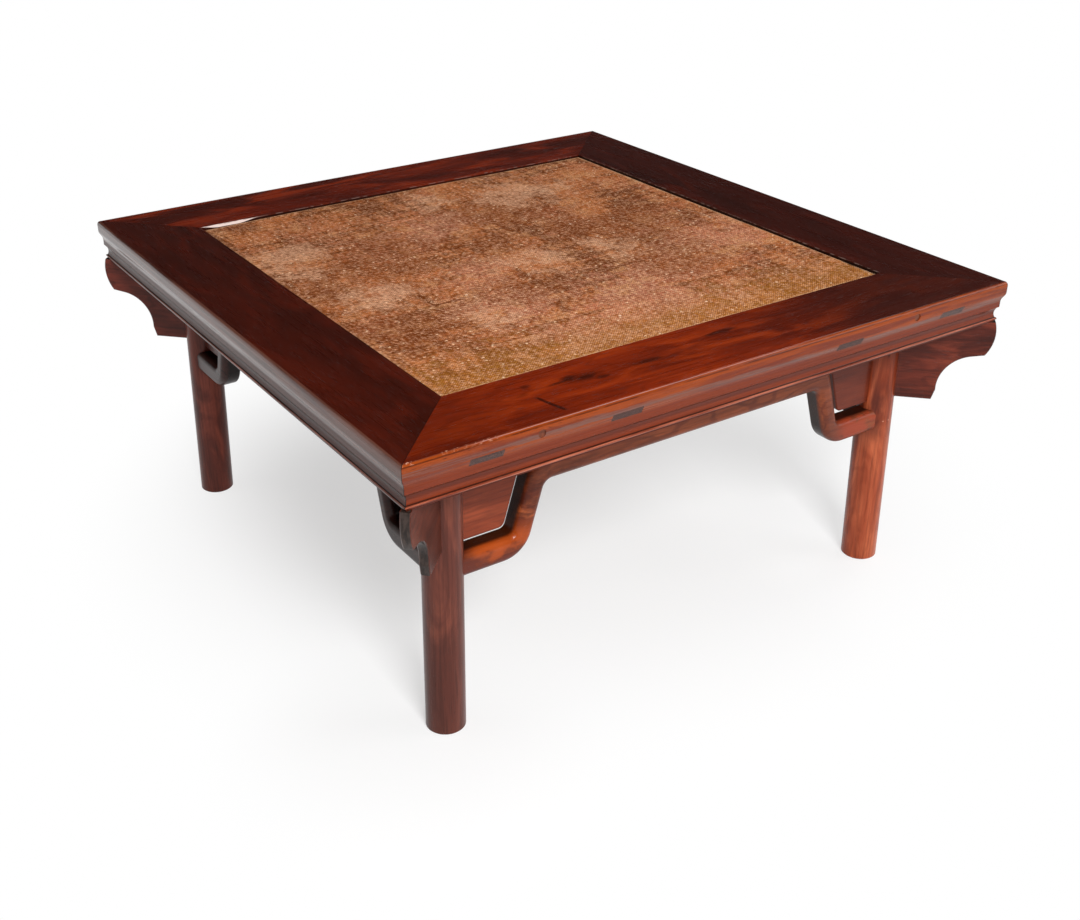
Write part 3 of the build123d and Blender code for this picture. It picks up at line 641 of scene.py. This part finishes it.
def mat_material():
    """Aged cane: brown and tan clouds with pink and golden parts, flecked crossing by crossing."""
    material, paint = new_material("woven_cane")
    clouds = paint.noise(paint.place, (7, 8, 1), 1.0, detail=9, roughness=0.72)
    worn = paint.noise(paint.place, (20, 26, 1), 6.0, detail=8, roughness=0.72)
    blush = paint.noise(paint.place, (9, 10, 1), 12.0, detail=8, roughness=0.70)
    fleck = paint.noise(paint.place, (290, 540, 1), 3.0, detail=2, roughness=0.6)
    slanted = paint.turned((0.0, 0.0, math.radians(33)))
    dash = paint.noise(slanted, (180, 580, 1), 8.0, detail=2, roughness=0.6)
    torn = paint.noise(paint.place, (15, 20, 1), 22.0, detail=10, roughness=0.80)
    strand = paint.spread(paint.math("ADD", fleck, dash), -1.1, 0.0)
    ragged = paint.math("ADD", paint.spread(torn, -4.6, 4.6), paint.math("MULTIPLY", strand, 1.6))
    lengthwise = paint.noise(paint.place, (10, 90, 1), 31.0, detail=5, roughness=0.6, distortion=0.5)
    crosswise = paint.noise(paint.place, (90, 10, 1), 37.0, detail=5, roughness=0.6, distortion=0.5)
    fibres = paint.math("SUBTRACT", paint.math("ADD", lengthwise, crosswise), 1.0)
    broken = paint.math("ADD", paint.math("MULTIPLY", strand, 0.16), paint.math("MULTIPLY", fibres, 0.55))
    clouds, worn, blush = (paint.math("ADD", noise, broken) for noise in (clouds, worn, blush))
    colour = paint.mix(paint.smooth(clouds, 0.39, 0.60), tone(106, 49, 12), tone(200, 116, 62))
    colour = paint.mix(paint.both(paint.smooth(blush, 0.48, 0.62), 0.6), colour, tone(190, 110, 76))
    pink, brown, pale = (patches(paint, places, ragged) for places in (PINK, BROWN, PALE))
    colour = paint.mix(paint.both(pink, 0.6), colour, tone(208, 126, 98))
    colour = paint.mix(paint.both(paint.smooth(worn, 0.50, 0.66), 0.65), colour, tone(216, 156, 104))
    colour = paint.mix(paint.both(brown, 0.62), colour, tone(130, 62, 20))
    colour = paint.mix(paint.both(pale, 0.38), colour, tone(228, 172, 132))
    golden = paint.smooth(paint.math("ADD", paint.y, paint.spread(worn, -0.12, 0.12)), -0.215, -0.315)
    colour = paint.mix(paint.both(golden, 0.62), colour, tone(190, 126, 46))

    steps = (2 * PITCH, 2 * PITCH, 1.0)
    cell = paint.node("ShaderNodeVectorMath", {0: paint.place, 1: steps}, operation="SNAP")
    dice = paint.node("ShaderNodeTexWhiteNoise", {"Vector": cell.outputs[0]}, noise_dimensions="2D")
    chance = dice.outputs["Value"]
    colour = paint.mix(paint.both(paint.smooth(chance, 0.30, 0.0), 0.35), colour, tone(118, 54, 18))
    colour = paint.mix(paint.both(paint.smooth(chance, 0.70, 1.0), 0.35), colour, tone(236, 176, 130))
    darker = paint.math("SUBTRACT", fleck, paint.math("MULTIPLY", brown, 0.04))
    colour = paint.mix(paint.both(paint.smooth(darker, 0.54, 0.34), 0.75), colour, tone(108, 48, 16))
    # Pale dashes along the strands: partly the cane's own pale fibres, partly painted highlights.
    paler = paint.math("MAXIMUM", pale, paint.math("MULTIPLY", pink, 0.4))
    pale_dashes_and_glints = paint.math("ADD", dash, paint.math("MULTIPLY", paler, 0.09))
    colour = paint.mix(paint.both(paint.smooth(pale_dashes_and_glints, 0.51, 0.68), 0.75), colour, tone(244, 190, 152))
    over = paint.both(
        paint.math("SINE", paint.math("MULTIPLY", paint.x, math.pi / PITCH)),
        paint.math("SINE", paint.math("MULTIPLY", paint.y, math.pi / PITCH)),
    )
    # Painted shade: darker where the strands dip under each other, most toward the front edge.
    sunk = paint.both(paint.smooth(over, 0.1, -0.8), paint.spread(golden, 0.40, 0.75))
    colour = paint.mix(sunk, colour, tone(100, 46, 12))
    # Painted shade: a dark strip along the mat's right edge, toward the front, for a gap beside the rail.
    gap_shade = paint.both(paint.smooth(paint.x, 0.3215, 0.3235), paint.smooth(paint.y, -0.262, -0.272))
    colour = paint.mix(paint.both(gap_shade, 0.85), colour, tone(44, 22, 14))
    for cells, size, share, seed, strength, shade in (
        ((60, 80, 1), 0.16, 0.05, 2.0, 0.80, tone(250, 226, 200)),
        ((110, 170, 1), 0.24, 0.22, 7.0, 0.85, tone(255, 222, 184)),
        ((26, 30, 1), 0.06, 0.14, 5.0, 0.85, tone(52, 26, 16)),
    ):
        colour = paint.mix(paint.both(paint.specks(cells, size, share, seed), strength), colour, shade)
    rim = paint.math("MAXIMUM", paint.math("ABSOLUTE", paint.x), paint.math("ABSOLUTE", paint.y))
    border = paint.both(paint.smooth(rim, 0.3212, 0.3234), paint.spread(worn, -0.5, 1.5))
    border = paint.both(border, paint.spread(paint.smooth(paint.x, -0.322, -0.318), 0.3, 1.0))
    colour = paint.mix(border, colour, tone(214, 170, 130))
    paint.finish(
        colour, paint.spread(fleck, 0.45, 0.75), paint.math("ADD", fleck, dash), 0.00012,
        IOR=1.45, Specular_IOR_Level=0.05,
    )
    return material


mat = woven_mat()
mat.data.materials.append(mat_material())
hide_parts("woven_mat")
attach(mat, "root")


# -------------------------------------------------------------------------------------- floor and world

FLOOR_RADIUS = 14
FLOOR_GREY = (0.43, 0.43, 0.43, 1)     # the part of the floor that takes the lamps' light and the shadows
FLOOR_GLOW = 0.57                      # with which that part comes to white where nothing shades it
BOUNCE_GREY = (0.8, 0.8, 0.8, 1)       # the floor for the light that it throws back up at the table
ROOM_LEVEL = 0.11
ROOM_MIRRORED = 0.012                  # the room as the lacquer mirrors it


def studio_floor():
    """A wide white floor with the table's soft shadows. It is clear from below, to show the underside."""
    shape = bmesh.new()
    bmesh.ops.create_circle(shape, cap_ends=True, segments=96, radius=FLOOR_RADIUS)
    mesh = bpy.data.meshes.new("floor")
    shape.to_mesh(mesh)
    shape.free()
    floor = bpy.data.objects.new("floor", mesh)
    bpy.context.scene.collection.objects.link(floor)
    material, paint = new_material("floor")
    middle, corner_foot = paint.distance((0.08, 0.05, 0.0)), paint.distance((-0.40, -0.36, 0.0))
    far = paint.both(paint.smooth(middle, 0.32, 0.74), paint.smooth(corner_foot, 0.06, 0.26))
    lit = paint.node("ShaderNodeBsdfDiffuse", {"Color": FLOOR_GREY})
    glow = paint.node("ShaderNodeEmission", {"Color": WHITE, "Strength": FLOOR_GLOW})
    close = paint.node("ShaderNodeAddShader", {0: lit.outputs[0], 1: glow.outputs[0]})
    white = paint.node("ShaderNodeEmission", {"Color": WHITE, "Strength": 1.0})
    seen = paint.node("ShaderNodeMixShader", {0: far, 1: close.outputs[0], 2: white.outputs[0]})
    bounce = paint.node("ShaderNodeBsdfDiffuse", {"Color": BOUNCE_GREY})
    path = paint.node("ShaderNodeLightPath")
    shown = paint.math("MAXIMUM", path.outputs["Is Camera Ray"], path.outputs["Is Glossy Ray"])
    shown = paint.math("MAXIMUM", shown, path.outputs["Is Transmission Ray"])
    upper = paint.node("ShaderNodeMixShader", {0: shown, 1: bounce.outputs[0], 2: seen.outputs[0]})
    below = paint.node("ShaderNodeNewGeometry").outputs["Backfacing"]
    clear = paint.node("ShaderNodeBsdfTransparent")
    surface = paint.node("ShaderNodeMixShader", {0: below, 1: upper.outputs[0], 2: clear.outputs[0]})
    output = paint.node("ShaderNodeOutputMaterial")
    paint.tree.links.new(surface.outputs[0], output.inputs["Surface"])
    mesh.materials.append(material)


def studio_world():
    """White where it is seen directly or low behind the table, and a dim room for the light."""
    world = bpy.data.worlds.new("studio")
    world.use_nodes = True
    bpy.context.scene.world = world
    paint = Paint(world.node_tree)
    direction = paint.node("ShaderNodeTexCoord").outputs["Generated"]
    height = paint.node("ShaderNodeSeparateXYZ", {0: direction}).outputs[2]
    low = paint.smooth(height, 0.12, 0.03)
    path = paint.node("ShaderNodeLightPath")
    mirrored = paint.math("MAXIMUM", path.outputs["Is Glossy Ray"], path.outputs["Is Transmission Ray"])
    shown = paint.math("MAXIMUM", path.outputs["Is Camera Ray"], paint.both(mirrored, low))
    level = paint.spread(mirrored, ROOM_LEVEL, ROOM_MIRRORED)
    dim = paint.node("ShaderNodeBackground", {"Color": WHITE, "Strength": level})
    white = paint.node("ShaderNodeBackground", {"Color": WHITE, "Strength": 1.0})
    surface = paint.node("ShaderNodeMixShader", {0: shown, 1: dim.outputs[0], 2: white.outputs[0]})
    output = paint.node("ShaderNodeOutputWorld")
    paint.tree.links.new(surface.outputs[0], output.inputs["Surface"])


studio_floor()
studio_world()
